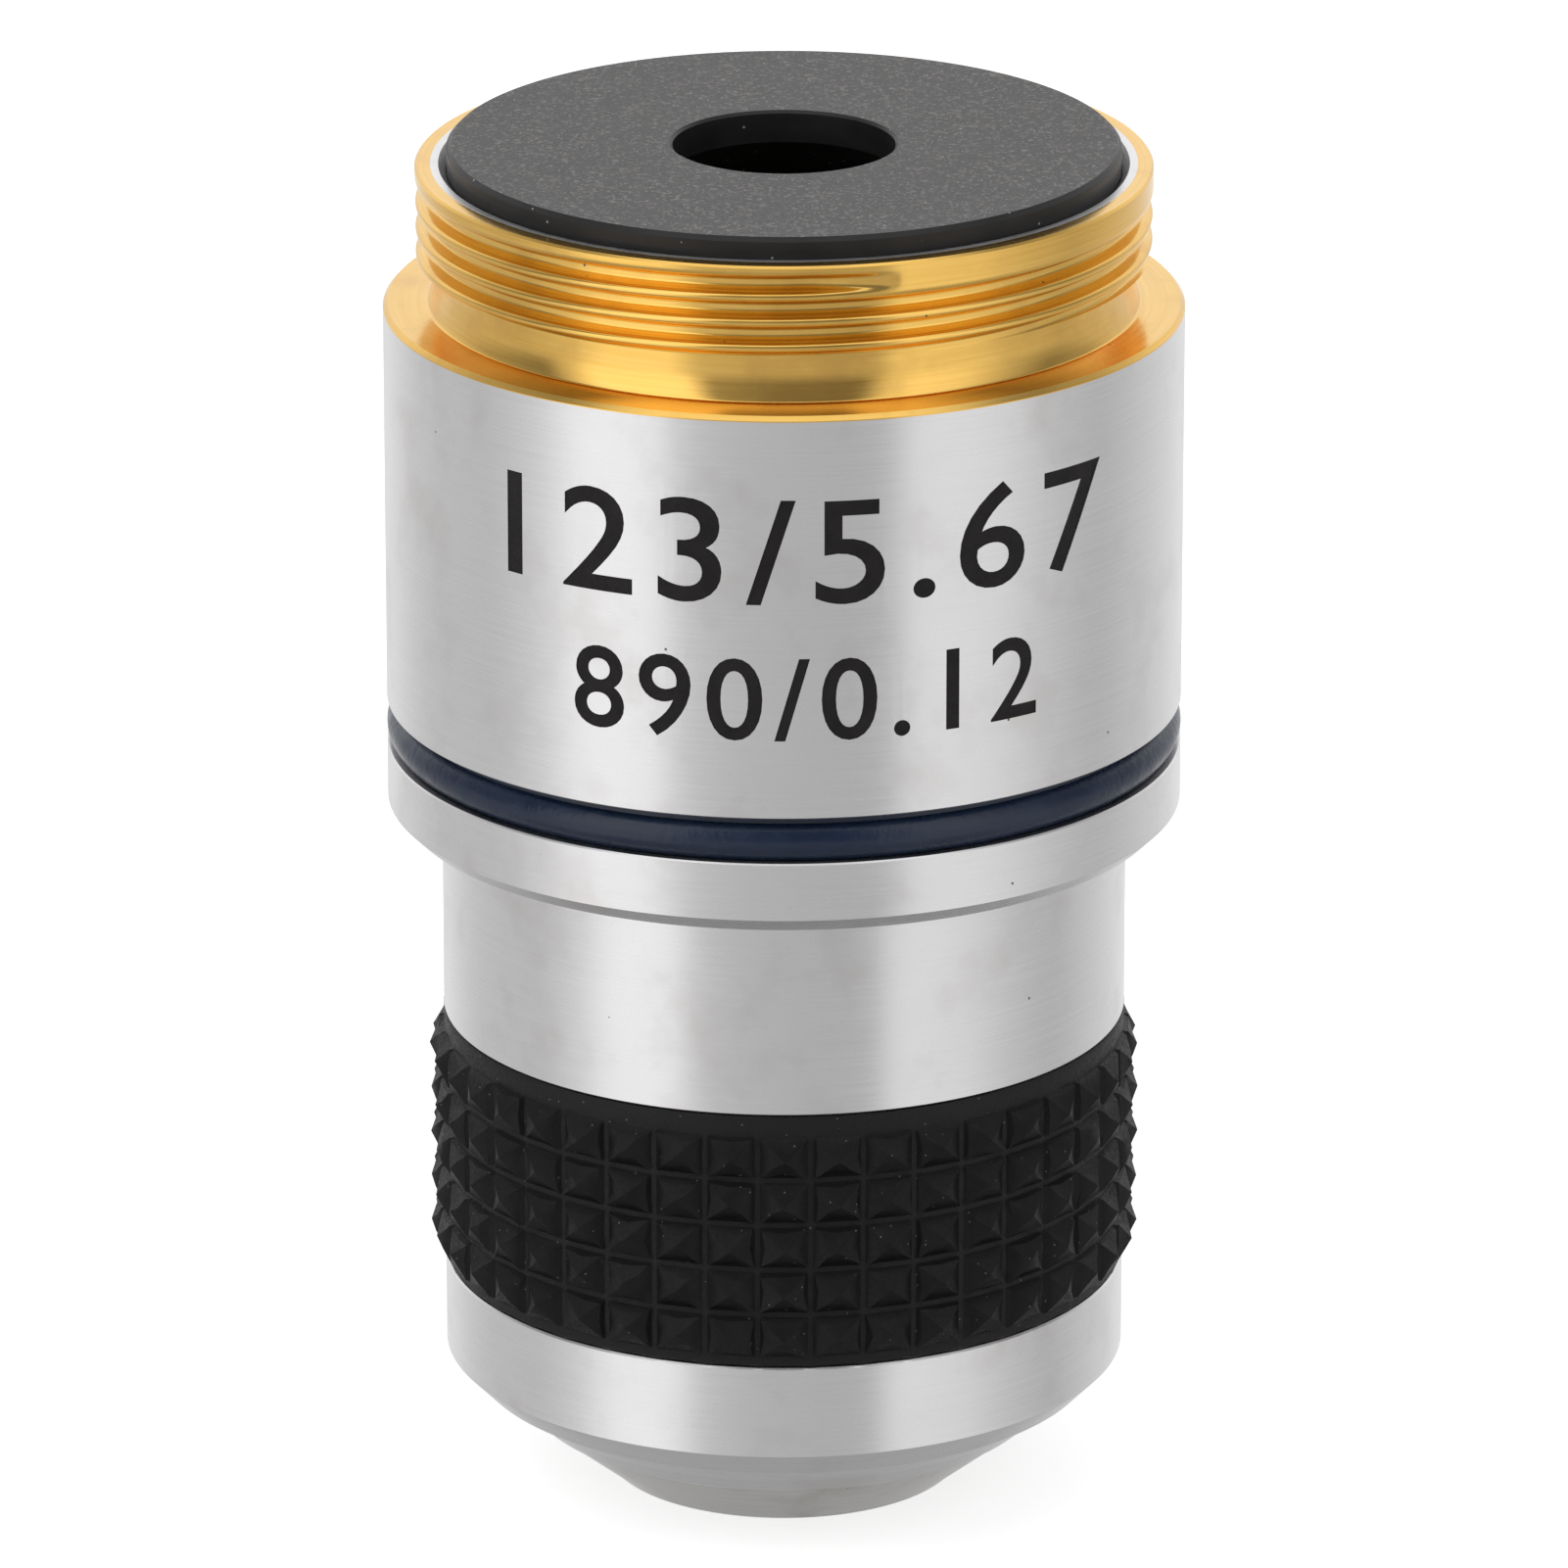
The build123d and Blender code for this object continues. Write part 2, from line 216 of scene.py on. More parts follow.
def smooth(piece, angle=30):
    make_active(piece)
    bpy.ops.object.shade_smooth_by_angle(angle=radians(angle))


def apply_modifier(piece, modifier):
    make_active(piece)
    bpy.ops.object.modifier_apply(modifier=modifier.name)


def draw_outline(name, outline, closed):
    """A line of edges in the XZ plane, extruded from one vertex. Stays in edit mode."""
    deselect_all()
    bpy.ops.mesh.primitive_plane_add(size=MM)
    piece = bpy.context.object
    piece.name = name
    bpy.ops.object.mode_set(mode="EDIT")
    bpy.ops.mesh.select_mode(type="VERT")
    bpy.ops.mesh.merge(type="CENTER")
    here = (0, 0)
    ends = list(outline) + ([outline[0]] if closed else [])
    for index, (radius, height) in enumerate(ends):
        step = ((radius - here[0]) * MM, 0, (height - here[1]) * MM)
        if index:
            bpy.ops.mesh.extrude_vertices_move(TRANSFORM_OT_translate={"value": step})
        else:
            bpy.ops.transform.translate(value=step)
        here = (radius, height)
    bpy.ops.mesh.select_all(action="SELECT")
    bpy.ops.mesh.remove_doubles(threshold=MERGE)
    return piece


def turn_on_lathe(name, outline, closed=True):
    """Spins an outline round the optical axis."""
    piece = draw_outline(name, outline, closed)
    bpy.ops.mesh.spin(steps=ROUND_STEPS, angle=2 * pi, center=(0, 0, 0), axis=(0, 0, 1))
    close_up(piece)
    return piece


def arc(centre, radius, start, end, steps):
    """Points of an arc, with its angles in degrees from the radius direction."""
    angles = [radians(start + (end - start) * step / steps) for step in range(steps + 1)]
    return [(centre[0] + radius * cos(a), centre[1] + radius * sin(a)) for a in angles]


def wrap_round(piece, radius):
    """Bends a piece drawn flat on the XZ plane round the optical axis."""
    for vertex in piece.data.vertices:
        turn = vertex.co.x / (radius * MM)
        out = radius * MM - vertex.co.y
        vertex.co = (out * sin(turn), -out * cos(turn), vertex.co.z)


def cut(piece, cutter):
    """Cuts one closed mesh out of another and deletes the cutter."""
    modifier = piece.modifiers.new("cut", "BOOLEAN")
    modifier.operation = "DIFFERENCE"
    modifier.solver = "EXACT"
    modifier.object = cutter
    apply_modifier(piece, modifier)
    bpy.data.objects.remove(cutter)


def finish_piece(piece, body, slot, nodes, *materials):
    """Gives a piece its materials and its body, and hides the CAD nodes that it stands for. The slot
    argument is not used.
    """
    piece.data.materials.clear()
    for material in materials:
        piece.data.materials.append(material)
    if body:
        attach(piece, body)
    if nodes:
        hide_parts(*nodes)


# Camera, at the photograph's viewing angle

def place_camera():
    elevation = radians(camera_elevation)
    deselect_all()
    bpy.ops.object.camera_add(
        location=(
            0,
            -camera_distance * cos(elevation) * MM,
            (camera_aim + camera_distance * sin(elevation)) * MM,
        ),
        rotation=(pi / 2 - elevation, 0, 0),
    )
    camera = bpy.context.object
    camera.data.lens = camera_lens
    camera.data.sensor_width = 36
    camera.data.clip_start = 0.01
    camera.data.clip_end = 10
    bpy.context.scene.camera = camera


# Shader node groups

def new_group(name, inputs, outputs):
    """A node group with named inputs and outputs, and its two end nodes."""
    group = bpy.data.node_groups.new(name, "ShaderNodeTree")
    for label, kind, value in inputs:
        socket = group.interface.new_socket(label, in_out="INPUT", socket_type=kind)
        if value is not None:
            socket.default_value = value
    for label, kind in outputs:
        group.interface.new_socket(label, in_out="OUTPUT", socket_type=kind)
    return group, group.nodes.new("NodeGroupInput"), group.nodes.new("NodeGroupOutput")


def add_node(tree, kind, links=None, **settings):
    """A node with its settings, and its inputs linked from sockets or set to values."""
    node = tree.nodes.new("ShaderNode" + kind)
    for setting, value in settings.items():
        setattr(node, setting, value)
    for label, source in (links or {}).items():
        if isinstance(source, bpy.types.NodeSocket):
            tree.links.new(source, node.inputs[label])
        else:
            node.inputs[label].default_value = source
    return node


def math(tree, operation, first, second=0.0, clamp=False):
    links = {0: first, 1: second}
    return add_node(tree, "Math", links, operation=operation, use_clamp=clamp).outputs[0]


def remap(tree, value, low, high, new_low, new_high):
    links = {"Value": value, "From Min": low, "From Max": high, "To Min": new_low, "To Max": new_high}
    return add_node(tree, "MapRange", links).outputs[0]


def blend_colours(tree, factor, first, second, kind="MIX"):
    node = add_node(tree, "Mix", data_type="RGBA", blend_type=kind)
    for socket, source in ((node.inputs[0], factor), (node.inputs[6], first), (node.inputs[7], second)):
        if isinstance(source, bpy.types.NodeSocket):
            tree.links.new(source, socket)
        else:
            socket.default_value = source
    return node.outputs[2]


def build_turning_group():
    """Fine lines left by the lathe: rings round the axis, on walls and on end faces."""
    group, start, end = new_group(
        "lathe_lines",
        [("Lines per mm", "NodeSocketFloat", 8.0), ("Length", "NodeSocketFloat", 1.0)],
        [("Lines", "NodeSocketFloat")],
    )
    place = add_node(group, "TexCoord").outputs["Object"]
    flat = add_node(group, "VectorMath", {0: place, 1: (1, 1, 0)}, operation="MULTIPLY").outputs[0]
    radius = add_node(group, "VectorMath", {0: flat}, operation="LENGTH").outputs["Value"]
    way = add_node(group, "VectorMath", {0: flat}, operation="NORMALIZE").outputs[0]
    around = add_node(group, "SeparateXYZ", {0: way})
    height = add_node(group, "SeparateXYZ", {0: place}).outputs[2]
    density = math(group, "MULTIPLY", start.outputs["Lines per mm"], 1 / MM)
    links = {
        0: math(group, "MULTIPLY", around.outputs[0], start.outputs["Length"]),
        1: math(group, "MULTIPLY", around.outputs[1], start.outputs["Length"]),
        2: math(group, "MULTIPLY", height, density),
    }
    spot = add_node(group, "CombineXYZ", links).outputs[0]
    depth = math(group, "MULTIPLY", radius, density)
    links = {"Vector": spot, "W": depth, "Scale": 1.0, "Detail": 4.0, "Roughness": 0.65}
    lines = add_node(group, "TexNoise", links, noise_dimensions="4D").outputs[0]
    group.links.new(lines, end.inputs["Lines"])
    return group


def build_mottle_group():
    """Soft blotches, such as tarnish and handling marks."""
    group, start, end = new_group(
        "mottle",
        [("Size mm", "NodeSocketFloat", 3.0), ("Contrast", "NodeSocketFloat", 1.0)],
        [("Blotches", "NodeSocketFloat")],
    )
    place = add_node(group, "TexCoord").outputs["Object"]
    scale = math(group, "DIVIDE", 1 / MM, start.outputs["Size mm"])
    links = {"Vector": place, "Scale": scale, "Detail": 5.0, "Roughness": 0.6}
    noise = add_node(group, "TexNoise", links).outputs[0]
    centred = math(group, "SUBTRACT", noise, 0.5)
    stretched = math(group, "MULTIPLY_ADD", centred, start.outputs["Contrast"])
    stretched.node.inputs[2].default_value = 0.5
    stretched.node.use_clamp = True
    group.links.new(stretched, end.inputs["Blotches"])
    return group


def build_speck_group():
    """Scattered round specks, such as dust, pits and bits of grit."""
    group, start, end = new_group(
        "specks",
        [("Spacing mm", "NodeSocketFloat", 0.5), ("Speck share", "NodeSocketFloat", 0.2),
         ("Amount", "NodeSocketFloat", 0.2)],
        [("Mask", "NodeSocketFloat")],
    )
    place = add_node(group, "TexCoord").outputs["Object"]
    scale = math(group, "DIVIDE", 1 / MM, start.outputs["Spacing mm"])
    cells = add_node(group, "TexVoronoi", {"Vector": place, "Scale": scale})
    inside = math(group, "LESS_THAN", cells.outputs["Distance"], start.outputs["Speck share"])
    drawn = add_node(group, "SeparateColor", {0: cells.outputs["Color"]}).outputs[0]
    chosen = math(group, "LESS_THAN", drawn, start.outputs["Amount"])
    group.links.new(math(group, "MULTIPLY", inside, chosen), end.inputs["Mask"])
    return group


def build_grain_group():
    """Close even grain, as on moulded rubber or a sprayed coat."""
    group, start, end = new_group(
        "grain",
        [("Size mm", "NodeSocketFloat", 0.08)],
        [("Height", "NodeSocketFloat")],
    )
    place = add_node(group, "TexCoord").outputs["Object"]
    scale = math(group, "DIVIDE", 1 / MM, start.outputs["Size mm"])
    links = {"Vector": place, "Scale": scale, "Detail": 3.0, "Roughness": 0.7}
    noise = add_node(group, "TexNoise", links).outputs[0]
    group.links.new(noise, end.inputs["Height"])
    return group


lathe_lines = build_turning_group()
mottle = build_mottle_group()
specks = build_speck_group()
grain = build_grain_group()


def use_group(tree, group, output=0, **values):
    node = tree.nodes.new("ShaderNodeGroup")
    node.node_tree = group
    for label, value in values.items():
        node.inputs[label.replace("_", " ")].default_value = value
    return node.outputs[output]


# Materials

def new_material(name, metallic, roughness):
    material = bpy.data.materials.new(name)
    material.use_nodes = True
    shader = material.node_tree.nodes["Principled BSDF"]
    shader.inputs["Metallic"].default_value = metallic
    shader.inputs["Roughness"].default_value = roughness
    return material, material.node_tree, shader


def set_bump(tree, shader, height, strength, distance):
    links = {"Height": height, "Strength": strength, "Distance": distance * MM}
    bump = add_node(tree, "Bump", links).outputs[0]
    tree.links.new(bump, shader.inputs["Normal"])


def set_turned_sheen(tree, shader, amount):
    """Highlights spread across the lathe's lines."""
    shader.inputs["Anisotropic"].default_value = amount
    shader.inputs["Anisotropic Rotation"].default_value = 0.25
    tangent = add_node(tree, "Tangent", direction_type="RADIAL", axis="Z").outputs[0]
    tree.links.new(tangent, shader.inputs["Tangent"])


nick_colour = (0.17, 0.14, 0.12, 1)


def turned_metal(name, light, dark, roughness, lines_per_mm, spread, stain, sheen=0.6, bump=0.25):
    """Bare or plated metal off the lathe, with its lines, a few stains and small nicks."""
    material, tree, shader = new_material(name, 1.0, roughness[0])
    lines = use_group(tree, lathe_lines, Lines_per_mm=lines_per_mm, Length=spread)
    blotches = use_group(tree, mottle, Size_mm=2.6, Contrast=2.2)
    nicks = use_group(tree, specks, Spacing_mm=1.4, Speck_share=0.028, Amount=1.0)
    colour = blend_colours(tree, remap(tree, lines, 0.35, 0.65, 0.0, 1.0), dark, light)
    stained = blend_colours(tree, remap(tree, blotches, 0.55, 0.9, 0.0, 1.0), colour, stain)
    nicked = blend_colours(tree, nicks, stained, nick_colour)
    tree.links.new(nicked, shader.inputs["Base Color"])
    smeared = math(tree, "MULTIPLY", blotches, 0.06)
    rough = math(tree, "ADD", remap(tree, lines, 0.3, 0.7, *roughness), smeared)
    tree.links.new(rough, shader.inputs["Roughness"])
    set_bump(tree, shader, lines, bump, 0.01)
    set_turned_sheen(tree, shader, sheen)
    return material


def grey(value, tint=(1, 1, 1)):
    return (value * tint[0], value * tint[1], value * tint[2], 1)


satin_chrome = turned_metal(
    "satin_chrome", grey(0.80, (1, 0.99, 1.0)), grey(0.745, (1, 0.99, 1.0)),
    (0.22, 0.30), 14.0, 2.0, grey(0.72, (1, 0.975, 0.965)), bump=0.14,
)
bare_brass = turned_metal(
    "turned_brass", (0.90, 0.57, 0.155, 1), (0.83, 0.50, 0.115, 1),
    (0.09, 0.16), 12.0, 1.6, (0.78, 0.47, 0.12, 1), sheen=0.5, bump=0.16,
)
nickel_plate = turned_metal(
    "nickel_plate", (0.76, 0.75, 0.73, 1), (0.66, 0.65, 0.63, 1),
    (0.24, 0.34), 12.0, 1.6, (0.60, 0.58, 0.55, 1),
)
inner_brass = turned_metal(
    "inner_brass", (0.80, 0.55, 0.21, 1), (0.70, 0.46, 0.16, 1),
    (0.24, 0.36), 6.0, 1.0, (0.62, 0.38, 0.15, 1),
)
spring_steel = turned_metal(
    "spring_steel", (0.46, 0.45, 0.44, 1), (0.36, 0.35, 0.34, 1),
    (0.22, 0.34), 5.0, 3.0, (0.30, 0.28, 0.26, 1), sheen=0.0,
)
screw_steel = turned_metal(
    "screw_steel", (0.50, 0.49, 0.48, 1), (0.40, 0.39, 0.38, 1),
    (0.25, 0.35), 8.0, 2.0, (0.36, 0.34, 0.32, 1), sheen=0.0,
)


def make_blackened_brass():
    material, tree, shader = new_material("blackened_brass", 0.6, 0.45)
    lines = use_group(tree, lathe_lines, Lines_per_mm=7.0, Length=1.0)
    blotches = use_group(tree, mottle, Size_mm=1.5, Contrast=2.5)
    colour = blend_colours(tree, blotches, (0.018, 0.017, 0.016, 1), (0.045, 0.038, 0.030, 1))
    tree.links.new(colour, shader.inputs["Base Color"])
    tree.links.new(remap(tree, lines, 0.3, 0.7, 0.35, 0.6), shader.inputs["Roughness"])
    set_bump(tree, shader, lines, 0.3, 0.01)
    return material


def make_baffle_black():
    """Smooth black coat on the edge of the baffle."""
    material, tree, shader = new_material("baffle_black", 0.0, 0.5)
    shader.inputs["Specular IOR Level"].default_value = 0.34
    lines = use_group(tree, lathe_lines, Lines_per_mm=6.0, Length=2.0)
    dust = use_group(tree, specks, Spacing_mm=0.40, Speck_share=0.09, Amount=0.25)
    blotches = use_group(tree, mottle, Size_mm=1.2, Contrast=2.0)
    base = blend_colours(tree, blotches, (0.006, 0.006, 0.006, 1), (0.013, 0.012, 0.012, 1))
    dusty = blend_colours(tree, math(tree, "MULTIPLY", dust, 0.4), base, (0.50, 0.49, 0.47, 1))
    tree.links.new(dusty, shader.inputs["Base Color"])
    tree.links.new(remap(tree, lines, 0.3, 0.7, 0.30, 0.48), shader.inputs["Roughness"])
    set_bump(tree, shader, lines, 0.2, 0.01)
    return material


def make_baffle_grain():
    """Grained black face of the baffle, with pale dust in the grain."""
    material, tree, shader = new_material("baffle_grain", 0.0, 0.5)
    shader.inputs["Specular IOR Level"].default_value = 0.38
    close = use_group(tree, grain, Size_mm=0.13)
    dust = use_group(tree, specks, Spacing_mm=0.22, Speck_share=0.11, Amount=0.45)
    blotches = use_group(tree, mottle, Size_mm=1.6, Contrast=1.6)
    base = blend_colours(tree, blotches, (0.006, 0.006, 0.006, 1), (0.016, 0.015, 0.015, 1))
    speckled = remap(tree, close, 0.50, 0.66, 0.0, 1.0)
    grained = blend_colours(tree, speckled, base, (0.14, 0.13, 0.125, 1))
    dusty = blend_colours(tree, math(tree, "MULTIPLY", dust, 0.5), grained, (0.50, 0.49, 0.47, 1))
    tree.links.new(dusty, shader.inputs["Base Color"])
    tree.links.new(remap(tree, close, 0.3, 0.7, 0.36, 0.56), shader.inputs["Roughness"])
    set_bump(tree, shader, close, 0.6, 0.02)
    return material


def make_grip_rubber():
    """Matt black moulded rubber with a fine grain, lint, and lighter groove floors: grey bloom and a
    painted highlight.
    """
    material, tree, shader = new_material("grip_rubber", 0.0, 0.5)
    shader.inputs["Specular IOR Level"].default_value = 0.17
    fine = use_group(tree, grain, Size_mm=0.10)
    lint = use_group(tree, specks, Spacing_mm=0.24, Speck_share=0.10, Amount=0.30)
    blotches = use_group(tree, mottle, Size_mm=0.8, Contrast=2.2)
    place = add_node(tree, "TexCoord").outputs["Object"]
    flat = add_node(tree, "VectorMath", {0: place, 1: (1, 1, 0)}, operation="MULTIPLY").outputs[0]
    radius = add_node(tree, "VectorMath", {0: flat}, operation="LENGTH").outputs["Value"]
    # The groove mask lightens the groove floors below: a painted highlight, with some grey bloom.
    groove = remap(tree, radius, (grip_base + 0.02) * MM, (grip_base + tile_step) * MM, 1.0, 0.0)
    base = blend_colours(tree, blotches, (0.003, 0.003, 0.003, 1), (0.007, 0.0068, 0.007, 1))
    groove_highlight_and_bloom = blend_colours(tree, groove, base, (0.009, 0.0088, 0.009, 1))
    linty = blend_colours(tree, math(tree, "MULTIPLY", lint, 0.22), groove_highlight_and_bloom, (0.35, 0.35, 0.35, 1))
    tree.links.new(linty, shader.inputs["Base Color"])
    tree.links.new(remap(tree, fine, 0.3, 0.7, 0.32, 0.62), shader.inputs["Roughness"])
    set_bump(tree, shader, fine, 0.6, 0.02)
    return material


def make_band_enamel():
    """Navy enamel, brushed in, with pits and small lumps."""
    material, tree, shader = new_material("band_enamel", 0.0, 0.25)
    shader.inputs["Specular IOR Level"].default_value = 0.38
    blotches = use_group(tree, mottle, Size_mm=1.6, Contrast=2.4)
    lumps = use_group(tree, grain, Size_mm=0.9)
    pits = use_group(tree, specks, Spacing_mm=0.9, Speck_share=0.10, Amount=0.25)
    base = blend_colours(tree, blotches, (0.004, 0.010, 0.026, 1), (0.008, 0.016, 0.036, 1))
    pitted = blend_colours(tree, pits, base, (0.002, 0.003, 0.006, 1))
    tree.links.new(pitted, shader.inputs["Base Color"])
    tree.links.new(remap(tree, blotches, 0.2, 0.8, 0.16, 0.30), shader.inputs["Roughness"])
    height = math(tree, "SUBTRACT", lumps, math(tree, "MULTIPLY", pits, 0.5))
    set_bump(tree, shader, height, 0.6, 0.06)
    return material


def make_numeral_paint():
    material, tree, shader = new_material("numeral_paint", 0.0, 0.5)
    shader.inputs["Specular IOR Level"].default_value = 0.25
    fine = use_group(tree, grain, Size_mm=0.12)
    blotches = use_group(tree, mottle, Size_mm=0.7, Contrast=2.0)
    base = blend_colours(tree, blotches, (0.005, 0.004, 0.004, 1), (0.011, 0.009, 0.009, 1))
    tree.links.new(base, shader.inputs["Base Color"])
    tree.links.new(remap(tree, fine, 0.3, 0.7, 0.5, 0.7), shader.inputs["Roughness"])
    set_bump(tree, shader, fine, 0.4, 0.02)
    return material


def make_glass(name, tint, index):
    """Clear glass with a faint coating tint and a trace of dust."""
    material, tree, shader = new_material(name, 0.0, 0.02)
    shader.inputs["IOR"].default_value = index
    shader.inputs["Transmission Weight"].default_value = 1.0
    haze = use_group(tree, mottle, Size_mm=1.0, Contrast=2.0)
    colour = blend_colours(tree, haze, tint, (1, 1, 1, 1))
    tree.links.new(colour, shader.inputs["Base Color"])
    tree.links.new(remap(tree, haze, 0.4, 0.9, 0.01, 0.05), shader.inputs["Roughness"])
    return material


blackened_brass = make_blackened_brass()
baffle_black = make_baffle_black()
baffle_grain = make_baffle_grain()
grip_rubber = make_grip_rubber()
band_enamel = make_band_enamel()
numeral_paint = make_numeral_paint()
crown_glass = make_glass("crown_glass", (0.93, 0.97, 1.0, 1), 1.52)
flint_glass = make_glass("flint_glass", (1.0, 0.98, 0.93, 1), 1.62)


# Barrel

def crest_shape(phase):
    """1 on the crest and -1 in the groove, over one pitch from crest to crest."""
    wave = cos(2 * pi * phase) - groove_widening
    flat = wave * sqrt((1 + crest_flatness**2) / (1 + (crest_flatness * wave) ** 2))
    return min(1, max(-1, flat))


def make_thread():
    """A cylinder of helical strips, pushed in between the crests."""
    strip_start = thread_bottom - 2 * thread_pitch - thread_pitch / ROUND_STEPS / 2
    step = thread_pitch / thread_samples
    points = [(thread_radius, strip_start + index * step) for index in range(thread_samples + 1)]
    thread = draw_outline("thread", points, closed=False)
    bpy.ops.object.mode_set(mode="OBJECT")
    screw = thread.modifiers.new("helix", "SCREW")
    screw.steps = ROUND_STEPS
    screw.render_steps = ROUND_STEPS
    screw.screw_offset = thread_pitch * MM
    screw.iterations = helix_turns
    apply_modifier(thread, screw)
    bpy.ops.object.mode_set(mode="EDIT")
    bpy.ops.mesh.select_all(action="SELECT")
    bpy.ops.mesh.remove_doubles(threshold=MERGE)
    for height, clear_above in ((thread_top, True), (thread_bottom, False)):
        bpy.ops.mesh.select_all(action="SELECT")
        bpy.ops.mesh.bisect(
            plane_co=(0, 0, height * MM),
            plane_no=(0, 0, 1),
            clear_outer=clear_above,
            clear_inner=not clear_above,
            threshold=CUT_SLACK,
        )
    select_open_edges(thread, thread_top - 0.01, thread_top + 0.01)
    extrude_ring((thread_radius - rim_edge) / thread_radius, rim_edge)
    bpy.ops.object.mode_set(mode="OBJECT")
    return thread


def press_in_grooves(barrel):
    """Moves the thread's vertices in to the depth of the groove, with a run-in at its start."""
    groove_turn = radians(thread_start_angle)
    for vertex in barrel.data.vertices:
        x, y, z = (value / MM for value in vertex.co)
        if hypot(x, y) < thread_radius - 0.02 or not thread_bottom - 0.01 < z < thread_top - 0.01:
            continue
        turn = (atan2(x, -y) - groove_turn) / (2 * pi)
        along = (z - thread_start_height) / thread_pitch - turn
        turns_from_start = -round(along) - turn
        fade = min(1, max(0, turns_from_start / thread_run_in))
        depth = thread_depth * (1 - crest_shape(along + 0.5)) / 2 * fade
        scale = (thread_radius - depth) / thread_radius
        vertex.co.x *= scale
        vertex.co.y *= scale


def make_barrel():
    flare_end = degrees(atan2(2 * flare_width, flare_height))
    flare_foot = shoulder + corner_round * (1 - sin(radians(flare_end)))
    flare = []
    for step in range(flare_steps):
        down = step / flare_steps
        flare.append((neck_radius + flare_width * down**2, flare_foot + flare_height * (1 - down)))
    middle = neck_radius + flare_width + corner_round * cos(radians(flare_end))
    corner = arc((middle, shoulder + corner_round), corner_round, 180 + flare_end, 270, corner_steps)
    outline = [
        (neck_radius, thread_bottom),
        *flare,
        *corner,
        (barrel_radius - shoulder_chamfer, shoulder),
        (barrel_radius, shoulder - shoulder_chamfer),
        (barrel_radius, gold_edge),
        *((barrel_radius, height) for height in rings_beside_numerals),
        (barrel_radius, band_top + groove_edge),
        (barrel_radius - groove_edge, band_top),
        (band_floor, band_top),
        (band_floor, band_bottom),
        (barrel_radius - groove_edge, band_bottom),
        (barrel_radius, band_bottom - groove_edge),
        (barrel_radius, barrel_bottom + bottom_chamfer),
        (barrel_radius - bottom_chamfer, barrel_bottom),
        (sleeve_radius + fit, barrel_bottom),
        (sleeve_radius + fit, sleeve_seat),
        (spigot_radius + fit, sleeve_seat),
        (spigot_radius + fit, chamber_bottom),
        (chamber_radius, chamber_bottom),
        (chamber_radius, retainer_top),
        (rear_bore, retainer_top),
        (rear_bore, baffle_seat),
        (rim_bore, baffle_seat),
        (rim_bore, rim - rim_bevel),
        (rim_bore + rim_bevel, rim),
        (rim_flat_inner, rim),
    ]
    barrel = turn_on_lathe("barrel_body", outline, closed=False)
    thread = make_thread()
    make_active(barrel)
    thread.select_set(True)
    bpy.ops.object.join()
    bpy.ops.object.mode_set(mode="EDIT")
    for height in (thread_bottom, rim):
        select_open_edges(barrel, height - 0.01, height + 0.01)
        bpy.ops.mesh.fill()
    close_up(barrel)
    press_in_grooves(barrel)
    return barrel


def smooth_barrel(barrel):
    """Smooths the turned faces, and the thread all over."""
    groove_floor = thread_radius - thread_depth
    smooth(barrel)
    bpy.ops.object.mode_set(mode="EDIT")
    select_vertices(
        barrel,
        lambda r, z: r > groove_floor - 0.08 and thread_bottom + 0.02 < z < thread_top - 0.02,
    )
    bpy.ops.mesh.mark_sharp(clear=True)
    bpy.ops.object.mode_set(mode="OBJECT")


def paint_by_place(piece, slot, wanted):
    """Gives the faces whose radius and height the test accepts another of the piece's materials."""
    for face in piece.data.polygons:
        x, y, z = (value / MM for value in face.center)
        if wanted(hypot(x, y), z):
            face.material_index = slot


def is_brass(radius, height):
    """Outside the barrel above the plated wall, but not on the plated bevel inside the rim."""
    on_bevel = radius < rim_flat_inner and height > baffle_seat - 0.1
    return height > gold_edge - 0.001 and radius > brass_inner and not on_bevel


def is_bore(radius, height):
    return radius < spigot_radius + 2 * fit and height > sleeve_seat


barrel = make_barrel()


# Numerals, engraved and filled with paint

engraving_depth = 0.10
paint_depth = 0.03
cutter_front = -0.05
bend_step = 0.3
stroke_growth = 0.03
text_half_depth = 0.5
cap_share = 0.729


def flat_text(name, text, cap_height, baseline, middle_angle, stretch, spacing, front, back):
    """Text standing on the XZ plane, between two depths from the barrel's surface."""
    deselect_all()
    bpy.ops.object.text_add()
    lettering = bpy.context.object
    lettering.name = name
    lettering.data.body = text
    lettering.data.align_x = "CENTER"
    lettering.data.size = cap_height / cap_share * MM
    lettering.data.space_character = spacing
    lettering.data.extrude = text_half_depth * MM
    lettering.data.offset = stroke_growth * MM
    lettering.data.resolution_u = 6
    bpy.ops.object.convert(target="MESH")
    lettering = bpy.context.object
    lettering.rotation_euler = (pi / 2, 0, 0)
    lettering.scale = (stretch, 1, 1)
    bpy.ops.object.transform_apply(location=False, rotation=True, scale=True)
    middle = radians(middle_angle) * barrel_radius
    reach = max(abs(vertex.co.x) for vertex in lettering.data.vertices) / MM
    bpy.ops.object.mode_set(mode="EDIT")
    bpy.ops.mesh.select_all(action="SELECT")
    bpy.ops.mesh.remove_doubles(threshold=MERGE / 2)
    for index in range(-int(reach / bend_step), int(reach / bend_step) + 1):
        bpy.ops.mesh.select_all(action="SELECT")
        bpy.ops.mesh.bisect(
            plane_co=(index * bend_step * MM, 0, 0), plane_no=(1, 0, 0), threshold=CUT_SLACK
        )
    bpy.ops.mesh.select_all(action="SELECT")
    bpy.ops.mesh.dissolve_degenerate(threshold=MERGE / 2)
    bpy.ops.mesh.normals_make_consistent(inside=False)
    bpy.ops.object.mode_set(mode="OBJECT")
    for vertex in lettering.data.vertices:
        depth = back if vertex.co.y > 0 else front
        vertex.co = (vertex.co.x + middle * MM, depth * MM, vertex.co.z + baseline * MM)
    wrap_round(lettering, barrel_radius)
    return lettering


